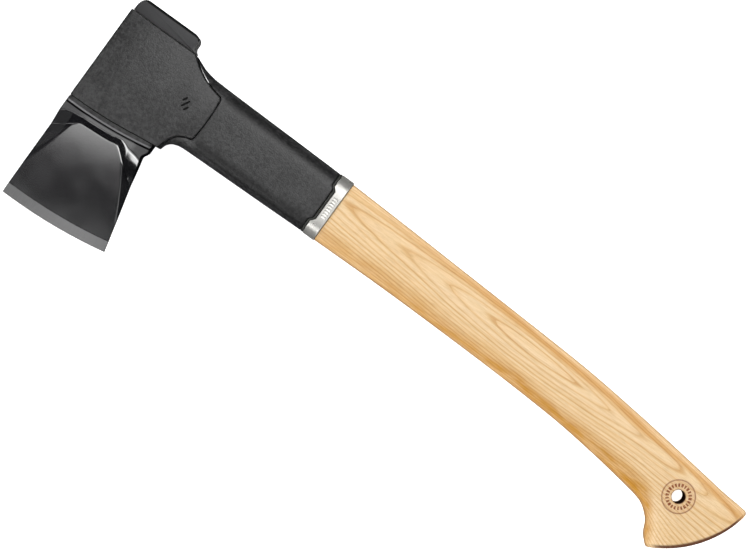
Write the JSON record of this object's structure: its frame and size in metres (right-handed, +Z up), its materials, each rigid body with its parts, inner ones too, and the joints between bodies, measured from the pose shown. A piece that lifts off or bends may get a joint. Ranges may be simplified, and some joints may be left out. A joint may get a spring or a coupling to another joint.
{
  "type": "hatchet",
  "caption": "Hatchet with a forged blade and poll, a moulded housing and neck sleeve, a metal collar and a curved hickory handle with a hanging hole.",
  "frame": {"origin": "on the lower cheek of the head housing, under the middle of the eye, with the hatchet lying on its side", "axes": "+X along the handle from the head to the knob, +Y towards the poll with the cutting edge at -Y, +Z up through the thickness of the head"},
  "size_m": [0.492, 0.1494, 0.036],
  "materials": {
    "coated_steel": "low-gloss black coating on forged steel, bare ground bevel at the edge",
    "composite": "matte black fibre-filled moulding with a fine texture",
    "gasket_rubber": "soft black rubber",
    "collar_metal": "satin, lightly brushed round the handle",
    "hickory": "clear oiled hickory with open grain",
    "adhesive": "cured epoxy"
  },
  "bodies": {
    "root": {"forged_head": "coated_steel", "head_housing": "composite", "neck_sleeve": "composite", "collar_gasket": "gasket_rubber", "collar": "collar_metal", "handle": "hickory", "tenon_adhesive": "adhesive"}
  },
  "joints": []
}
